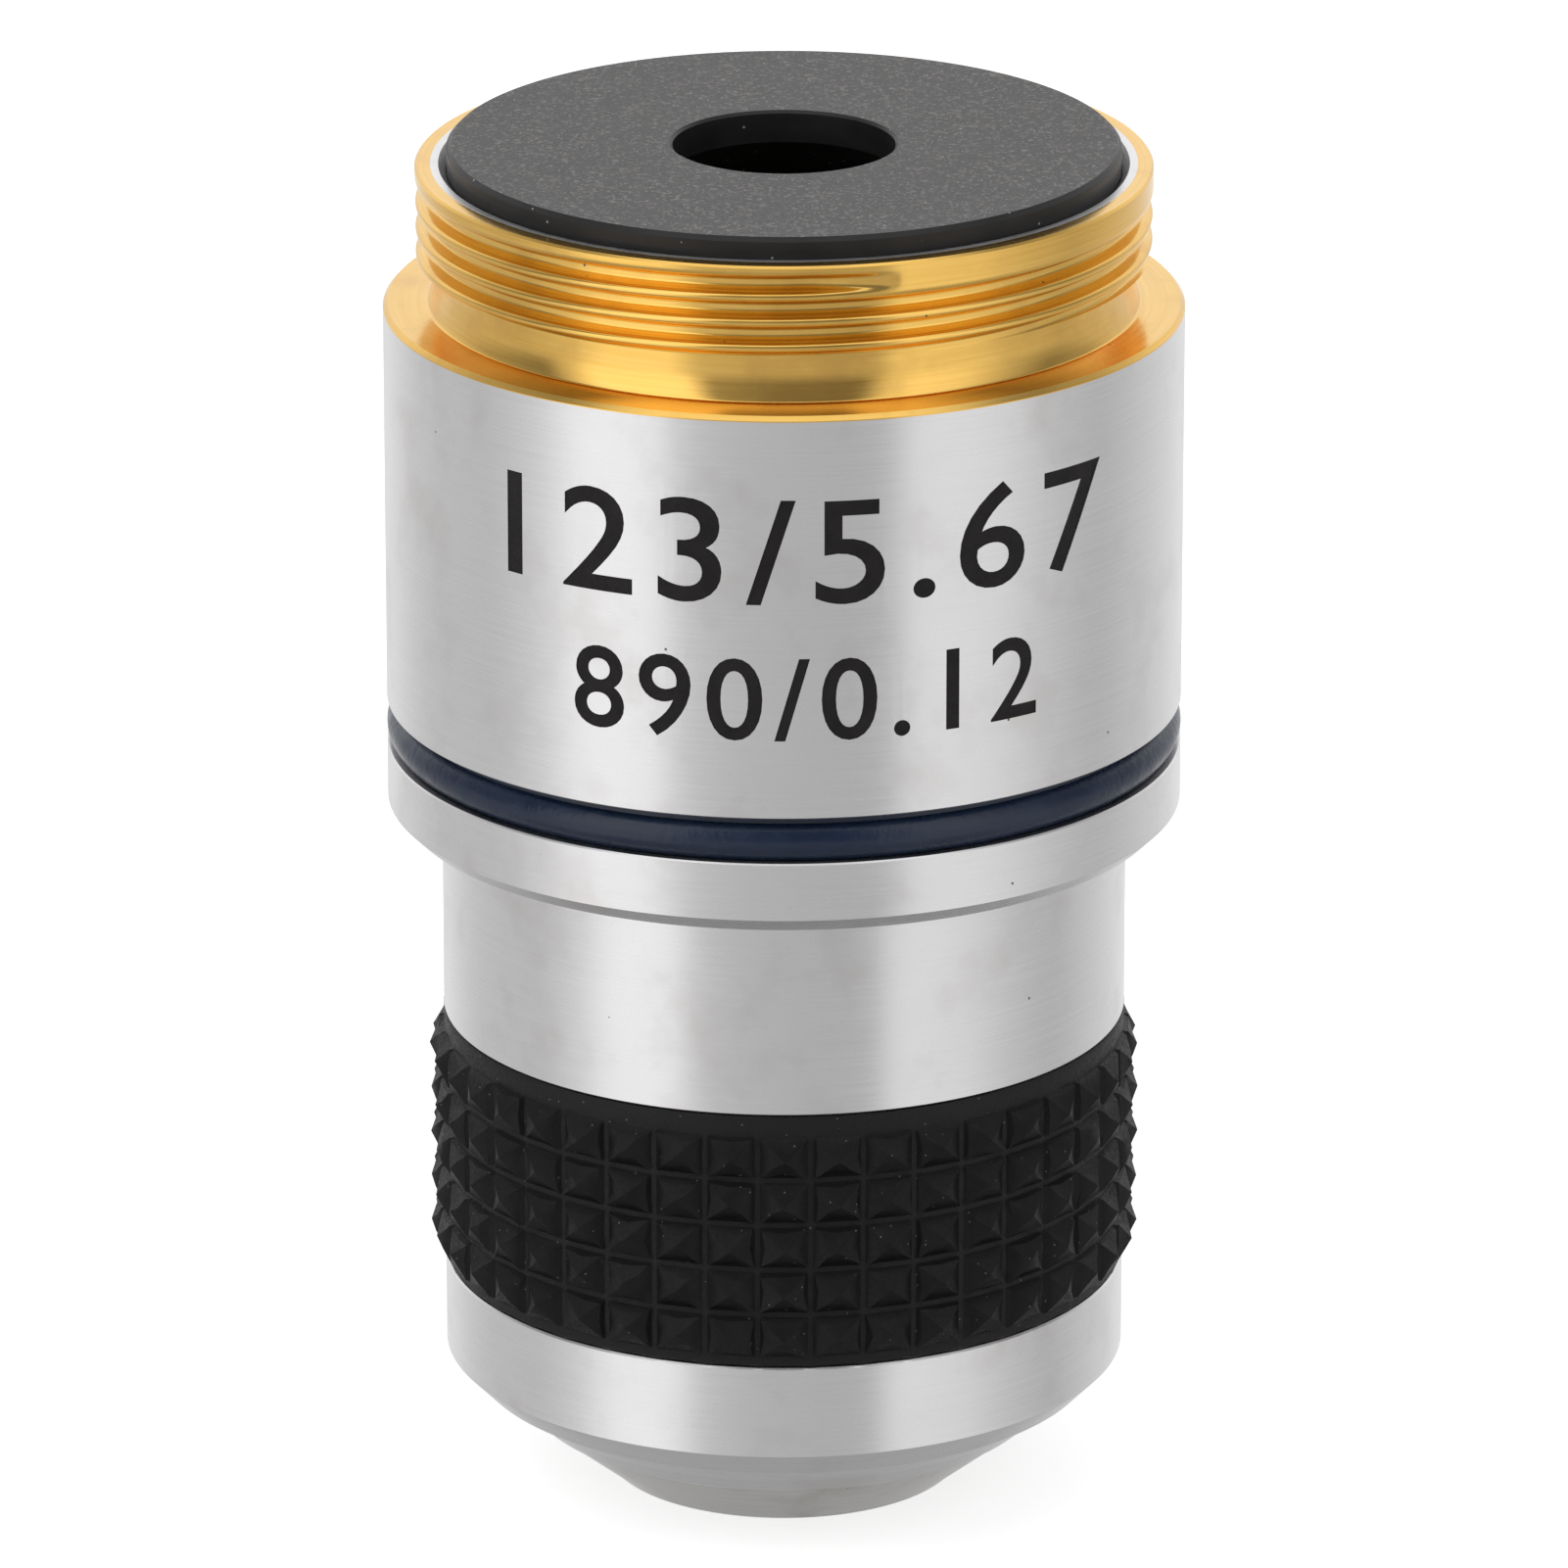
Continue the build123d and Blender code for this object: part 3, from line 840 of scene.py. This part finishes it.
# Name, digits, height, baseline, angle of the middle, stretch and spacing
numeral_rows = (
    ("numerals_upper", "123/5.67", 3.0, 28.9, 1.7, 1.14, 1.145),
    ("numerals_lower", "890/0.12", 2.36, 25.05, 3.7, 1.02, 1.16),
)
for name, *layout in numeral_rows:
    cut(barrel, flat_text(name + "_cutter", *layout, cutter_front, engraving_depth))
    paint = flat_text(name, *layout, paint_depth, engraving_depth)
    finish_piece(paint, "barrel", "baffle_black", [], numeral_paint)

smooth_barrel(barrel)
finish_piece(barrel, "barrel", "satin_chrome", ["barrel"], satin_chrome, bare_brass, blackened_brass)
paint_by_place(barrel, 1, is_brass)
paint_by_place(barrel, 2, is_bore)


# Sleeve

def make_sleeve():
    outline = [
        (mouth_radius, mouth),
        middle_band,
        outer_band,
        (sleeve_radius, cone_top),
        (sleeve_radius, grip_bottom - sleeve_edge),
        (sleeve_radius - sleeve_edge, grip_bottom),
        (grip_floor, grip_bottom),
        (grip_floor, grip_top),
        (sleeve_radius - sleeve_edge, grip_top),
        (sleeve_radius, grip_top + sleeve_edge),
        (sleeve_radius, sleeve_seat),
        (spigot_radius, sleeve_seat),
        (spigot_radius, sleeve_top),
        (tube_bore, sleeve_top),
        (tube_bore, lip_top),
        (mouth_radius, lip_top),
    ]
    sleeve = turn_on_lathe("sleeve_body", outline)
    deselect_all()
    bpy.ops.mesh.primitive_cylinder_add(
        vertices=48,
        radius=screw_radius * MM,
        depth=2 * MM,
        location=((tube_bore + grip_floor) / 2 * MM, 0, (grip_bottom + grip_top) / 2 * MM),
        rotation=(0, pi / 2, 0),
    )
    cut(sleeve, bpy.context.object)
    smooth(sleeve)
    return sleeve


finish_piece(make_sleeve(), "barrel", "satin_chrome", ["front_sleeve"], satin_chrome)


# Colour band

def make_band():
    strip_width = 0.25
    strip_step = 0.06
    crown_top = band_top - strip_width
    crown_rise = 0.30
    crown_fullness = 0.7
    crown_steps = 16
    edge = band_radius - crown_rise
    strip = edge - strip_step
    inner = band_floor + fit
    crown = []
    for step in range(crown_steps + 1):
        part = step / crown_steps
        bulge = crown_rise * sin(pi * part) ** crown_fullness
        crown.append((edge + bulge, band_bottom + (crown_top - band_bottom) * part))
    outline = [
        (inner, band_bottom),
        *crown,
        (strip, crown_top + 0.02),
        (strip, band_top),
        (inner, band_top),
    ]
    band = turn_on_lathe("colour_ring", outline)
    smooth(band, 40)
    return band


finish_piece(make_band(), "barrel", "band_enamel", ["colour_band"], band_enamel)


# Rear baffle

def make_baffle():
    hole = 3.05
    hole_land = 0.9
    hole_edge = 0.08
    edge = 0.12
    flare = baffle_top - hole_land
    spigot = rear_bore - fit
    outline = [
        (hole + hole_edge, baffle_top),
        (baffle_radius - edge, baffle_top),
        (baffle_radius, baffle_top - edge),
        (baffle_radius, baffle_seat),
        (spigot, baffle_seat),
        (spigot, baffle_bottom),
        (hole + flare - baffle_bottom, baffle_bottom),
        (hole, flare),
        (hole, baffle_top - hole_edge),
    ]
    baffle = turn_on_lathe("baffle_disc", outline)
    smooth(baffle)
    return baffle


baffle = make_baffle()
finish_piece(baffle, "barrel", "baffle_black", ["rear_baffle"], baffle_black, baffle_grain)
paint_by_place(baffle, 1, lambda radius, height: height > baffle_top - 0.01)


# Nose cell and front lens

def make_nose():
    face_radius, face_edge = 4.97, 0.14
    cone_height = 1.69
    thread_fit_radius = 5.98
    bore, bore_floor = 4.2, 2.4
    seat_radius = 3.5
    lens_bore, lens_bore_top = 2.02, 0.9
    opening, opening_depth = 1.8, 0.15
    outline = [
        (opening, 0),
        (face_radius, 0),
        (face_radius + face_edge, face_edge),
        (nose_radius, cone_height),
        (nose_radius, tube_bottom),
        (thread_fit_radius, tube_bottom),
        (thread_fit_radius, nose_top),
        (bore, nose_top),
        (bore, bore_floor),
        (seat_radius, bore_floor),
        (lens_bore, lens_bore_top),
        (lens_bore, opening_depth),
        (opening, opening_depth),
    ]
    nose = turn_on_lathe("nose_cone", outline)
    smooth(nose)
    return nose


def make_front_lens():
    flat = 0.15
    edge_top = 0.35
    dome = arc((0, edge_top), lens_radius, 0, 90, 24)
    outline = [(0, flat), (lens_radius, flat), *dome[:-1], (0, lens_top)]
    glass = turn_on_lathe("front_glass", outline, closed=False)
    smooth(glass, 40)
    return glass


finish_piece(make_nose(), "lens_tube", "nickel_plate", ["nose_cell"], nickel_plate)
finish_piece(make_front_lens(), "lens_tube", "lens_glass", ["front_lens"], crown_glass)


# Rubber grip: modelled flat, one tile first, then wrapped round

def make_grip():
    tile_width = 2 * pi * grip_base / grip_columns
    deselect_all()
    bpy.ops.mesh.primitive_plane_add(size=1, rotation=(pi / 2, 0, 0))
    grip = bpy.context.object
    grip.name = "rubber_grip"
    grip.scale = (tile_width * MM, row_pitch * MM, 1)
    bpy.ops.object.transform_apply(location=False, rotation=True, scale=True)
    bpy.ops.object.mode_set(mode="EDIT")
    bpy.ops.mesh.select_all(action="SELECT")
    bpy.ops.mesh.inset(thickness=grip_groove / 2 * MM, depth=0)
    bpy.ops.mesh.inset(thickness=tile_wall * MM, depth=tile_step * MM)
    bpy.ops.mesh.poke(offset=(grip_tip - grip_base - tile_step) * MM)
    bpy.ops.mesh.subdivide(number_cuts=1)
    bpy.ops.object.mode_set(mode="OBJECT")
    half_width = tile_width / 2 - grip_groove / 2 - tile_wall
    half_height = row_pitch / 2 - grip_groove / 2 - tile_wall
    for vertex in grip.data.vertices:
        x, z = vertex.co.x / MM, vertex.co.z / MM
        if near(abs(x), half_width) and near(z, 0):
            vertex.co.x *= 1 - side_pull
        elif near(x, 0) and near(abs(z), half_height):
            vertex.co.z *= 1 - side_pull
    for offset, count in (((tile_width * MM, 0, 0), grip_columns), ((0, 0, row_pitch * MM), grip_rows)):
        repeat = grip.modifiers.new("repeat", "ARRAY")
        repeat.count = count
        repeat.use_relative_offset = False
        repeat.use_constant_offset = True
        repeat.constant_offset_displace = offset
        repeat.use_merge_vertices = True
        repeat.merge_threshold = MERGE
        apply_modifier(grip, repeat)
    first_row = grip_top - grip_top_strip - (grip_rows - 0.5) * row_pitch
    for vertex in grip.data.vertices:
        vertex.co.z += first_row * MM
        if vertex.co.y < -0.05 * MM:
            vertex.co.x += random.uniform(-tile_wobble, tile_wobble) * MM
            vertex.co.y += random.uniform(-tile_wobble, tile_wobble) / 2 * MM
            vertex.co.z += random.uniform(-tile_wobble, tile_wobble) * MM
    low, high = first_row - row_pitch / 2, grip_top - grip_top_strip
    wrap_round(grip, grip_base)
    make_active(grip)
    bpy.ops.object.mode_set(mode="EDIT")
    bpy.ops.mesh.select_all(action="SELECT")
    bpy.ops.mesh.remove_doubles(threshold=MERGE)
    add_strip(grip, low, [
        (grip_base, grip_bottom + 0.10),
        (grip_base - 0.06, grip_bottom + 0.03),
        (grip_base - 0.12, grip_bottom),
    ])
    add_strip(grip, high, [
        (grip_base + 0.01, grip_top - 0.12),
        (grip_base - 0.02, grip_top - 0.04),
        (grip_base - 0.10, grip_top),
    ])
    inner_wall = grip_floor + fit
    for height in (grip_bottom, grip_top):
        select_vertices(grip, lambda r, z: near(z, height))
        extrude_ring(inner_wall / last_radius(grip), 0)
    select_vertices(grip, lambda r, z: r < inner_wall + 0.02)
    bpy.ops.mesh.bridge_edge_loops()
    close_up(grip)
    smooth(grip, 28)
    return grip


def last_radius(piece):
    """Radius of the selected ring."""
    bpy.ops.object.mode_set(mode="OBJECT")
    chosen = [v.co for v in piece.data.vertices if v.select]
    bpy.ops.object.mode_set(mode="EDIT")
    return max(hypot(co.x, co.y) for co in chosen) / MM


def add_strip(grip, start, rings):
    """Continues the sheet's edge over the plain strip beside the tiles."""
    select_vertices(grip, lambda r, z: near(z, start) and near(r, grip_base, 0.01))
    radius, height = grip_base, start
    for next_radius, next_height in rings:
        extrude_ring(next_radius / radius, next_height - height)
        radius, height = next_radius, next_height


finish_piece(make_grip(), "barrel", "grip_rubber", ["grip_ring"], grip_rubber)


# Return spring: round wire, with its end coils closed and ground flat

def make_spring():
    wire = 0.4
    end_gap = 0.02
    coil_radius = spring_outer - wire
    bottom, top = spring_bottom + end_gap, spring_top - end_gap
    dead_turns, live_turns = 1.0, 3.5
    turns = 2 * dead_turns + live_turns
    steps_per_turn = 40
    total = int(turns * steps_per_turn)
    dead_rise = 2 * wire
    grind = 2.0
    live_rise = (top - bottom - 2 * dead_rise) / live_turns
    deselect_all()
    path = bpy.data.curves.new("coil_spring", "CURVE")
    path.dimensions = "3D"
    path.bevel_depth = wire * MM
    path.bevel_resolution = 4
    path.use_fill_caps = True
    line = path.splines.new("POLY")
    line.points.add(total)
    for step in range(total + 1):
        turn = step / steps_per_turn
        live = min(max(turn - dead_turns, 0), live_turns)
        height = bottom + dead_rise * (turn - live) + live_rise * live
        angle = 2 * pi * turn
        spot = (coil_radius * cos(angle) * MM, coil_radius * sin(angle) * MM, height * MM, 1)
        line.points[step].co = spot
    spring = bpy.data.objects.new("coil_spring", path)
    bpy.context.collection.objects.link(spring)
    make_active(spring)
    bpy.ops.object.convert(target="MESH")
    spring = bpy.context.object
    bpy.ops.object.mode_set(mode="EDIT")
    close_up(spring)
    for height in (top + grind / 2, bottom - grind / 2):
        deselect_all()
        bpy.ops.mesh.primitive_cylinder_add(
            vertices=64,
            radius=spring_outer * 1.1 * MM,
            depth=grind * MM,
            location=(0, 0, height * MM),
        )
        cut(spring, bpy.context.object)
    make_active(spring)
    bpy.ops.object.mode_set(mode="EDIT")
    close_up(spring)
    smooth(spring, 45)
    return spring


spring = make_spring()
finish_piece(spring, None, "spring_steel", ["return_spring"], spring_steel)
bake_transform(spring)


# Finishes of the pieces whose CAD shape stays

node_finishes = {
    "spring_retainer": blackened_brass,
    "guide_screw": screw_steel,
    "parfocal_shim": inner_brass,
    "lens_tube": inner_brass,
    "meniscus_cell": inner_brass,
    "meniscus_lens": crown_glass,
    "front_spacer": blackened_brass,
    "doublet_a_cell": inner_brass,
    "doublet_a_flint": flint_glass,
    "doublet_a_crown": crown_glass,
    "middle_spacer": blackened_brass,
    "doublet_b_cell": inner_brass,
    "doublet_b_flint": flint_glass,
    "doublet_b_crown": crown_glass,
    "aperture_stop": blackened_brass,
    "cell_lock_ring": blackened_brass,
}
for node, material in node_finishes.items():
    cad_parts[node].data.materials.clear()
    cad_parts[node].data.materials.append(material)


# Floor and studio light

def brightness_ramp(group, place, stops):
    """Brightness by compass direction, in degrees from the camera's side, rightwards."""
    ramp = add_node(group, "ValToRGB", {0: place})
    elements = ramp.color_ramp.elements
    while len(elements) < len(stops):
        elements.new(0.5)
    for element, (angle, level) in zip(elements, stops):
        element.position = (angle + 180) / 360
        element.color = grey(level)
    return ramp.outputs[0]


def build_studio_group():
    """Brightness of the surroundings: a pale tent, with a dark gap at the camera above the table."""
    group, start, end = new_group(
        "studio",
        [("Direction", "NodeSocketVector", None)],
        [("Brightness", "NodeSocketFloat")],
    )
    parts = add_node(group, "SeparateXYZ", {0: start.outputs["Direction"]})
    ahead = math(group, "MULTIPLY", parts.outputs[1], -1.0)
    turn = math(group, "ARCTAN2", parts.outputs[0], ahead)
    place = remap(group, turn, -pi, pi, 0.0, 1.0)
    table = brightness_ramp(group, place, (
        (-180, 0.95), (-150, 0.84), (-125, 0.66), (-92, 0.62), (-74, 0.80), (-60, 1.20), (-38, 1.20),
        (-28, 0.70), (-14, 0.62), (14, 0.56), (30, 0.55), (37, 1.02), (64, 0.90), (82, 0.68),
        (102, 0.54), (122, 0.68), (150, 0.84), (172, 0.95),
    ))
    tent = brightness_ramp(group, place, (
        (-180, 1.05), (-140, 1.00), (-112, 0.45), (-84, 0.24), (-74, 0.80), (-64, 1.40), (-32, 1.40),
        (-24, 0.36), (0, 0.26), (26, 0.22), (35, 1.00), (46, 1.20), (62, 1.05), (78, 0.60),
        (96, 0.26), (116, 0.45), (140, 1.00), (172, 1.05),
    ))
    # The height of a direction is 0 at the horizon, 1 overhead and -1 underfoot
    height = parts.outputs[2]
    above = remap(group, height, 0.0, 0.22, 0.0, 1.0)
    walls = blend_colours(group, above, table, tent)
    overhead = remap(group, height, 0.80, 0.94, 0.0, 1.0)
    topped = blend_colours(group, overhead, walls, grey(1.10))
    underfoot = remap(group, height, -0.64, -0.42, 1.0, 0.0)
    shade = remap(group, height, -0.97, -0.64, 0.40, 0.50)
    whole = blend_colours(group, underfoot, topped, shade)
    group.links.new(whole, end.inputs["Brightness"])
    return group


def either(tree, *rays):
    """1 where the ray is any of these kinds."""
    path = add_node(tree, "LightPath")
    total = path.outputs[rays[0]]
    for ray in rays[1:]:
        total = math(tree, "MAXIMUM", total, path.outputs[ray])
    return total


def light_world(studio):
    world = bpy.data.worlds.new("studio")
    bpy.context.scene.world = world
    world.use_nodes = True
    tree = world.node_tree
    tree.nodes.clear()
    direction = add_node(tree, "TexCoord").outputs["Generated"]
    tent = tree.nodes.new("ShaderNodeGroup")
    tent.node_tree = studio
    tree.links.new(direction, tent.inputs[0])
    lit = add_node(tree, "Background", {"Color": tent.outputs[0], "Strength": 1.0}).outputs[0]
    white = add_node(tree, "Background", {"Color": (1, 1, 1, 1), "Strength": 1.0}).outputs[0]
    seen = either(tree, "Is Camera Ray")
    mixed = add_node(tree, "MixShader", {0: seen, 1: lit, 2: white}).outputs[0]
    output = tree.nodes.new("ShaderNodeOutputWorld")
    tree.links.new(mixed, output.inputs["Surface"])


def lay_floor():
    """A pale table. Metal reflects the studio behind it in its place."""
    floor_radius = 1.2
    floor_drop = 0.00003
    paper_level, glow_strength, plain_level = 0.45, 0.68, 0.8
    deselect_all()
    bpy.ops.mesh.primitive_circle_add(
        vertices=96, radius=floor_radius, fill_type="NGON", location=(0, 0, -floor_drop)
    )
    floor = bpy.context.object
    floor.name = "floor"
    bpy.ops.object.transform_apply(location=True)
    material = bpy.data.materials.new("pale_floor")
    material.use_nodes = True
    tree = material.node_tree
    tree.nodes.clear()
    paper = add_node(tree, "BsdfDiffuse", {"Color": grey(paper_level)}).outputs[0]
    glow = add_node(tree, "Emission", {"Color": grey(1.0), "Strength": glow_strength}).outputs[0]
    backlit = add_node(tree, "AddShader", {0: paper, 1: glow}).outputs[0]
    unseen = add_node(tree, "BsdfTransparent").outputs[0]
    plain = add_node(tree, "BsdfDiffuse", {"Color": grey(plain_level)}).outputs[0]
    seen = either(tree, "Is Camera Ray", "Is Transmission Ray")
    glossy = either(tree, "Is Glossy Ray")
    first = add_node(tree, "MixShader", {0: seen, 1: plain, 2: backlit}).outputs[0]
    both = add_node(tree, "MixShader", {0: glossy, 1: first, 2: unseen}).outputs[0]
    output = tree.nodes.new("ShaderNodeOutputMaterial")
    tree.links.new(both, output.inputs["Surface"])
    floor.data.materials.append(material)


def hang_softbox(name, angle, elevation, distance, size, power):
    """A soft lamp, at a compass direction from the camera's side and a height above the table."""
    turn, rise = radians(angle), radians(elevation)
    middle = 0.02
    deselect_all()
    bpy.ops.object.light_add(
        type="AREA",
        location=(
            distance * cos(rise) * sin(turn),
            -distance * cos(rise) * cos(turn),
            distance * sin(rise) + middle,
        ),
        rotation=(pi / 2 - rise, 0, turn),
    )
    lamp = bpy.context.object
    lamp.name = name
    lamp.data.shape = "RECTANGLE"
    lamp.data.size, lamp.data.size_y = size
    lamp.data.energy = power
    lamp.visible_glossy = False


studio = build_studio_group()
light_world(studio)
lay_floor()
hang_softbox("softbox_left", -65, 40, 0.5, (0.25, 0.35), 1.2)
hang_softbox("softbox_right", 60, 35, 0.5, (0.2, 0.3), 0.8)
bpy.context.scene.view_settings.view_transform = "Standard"
place_camera()
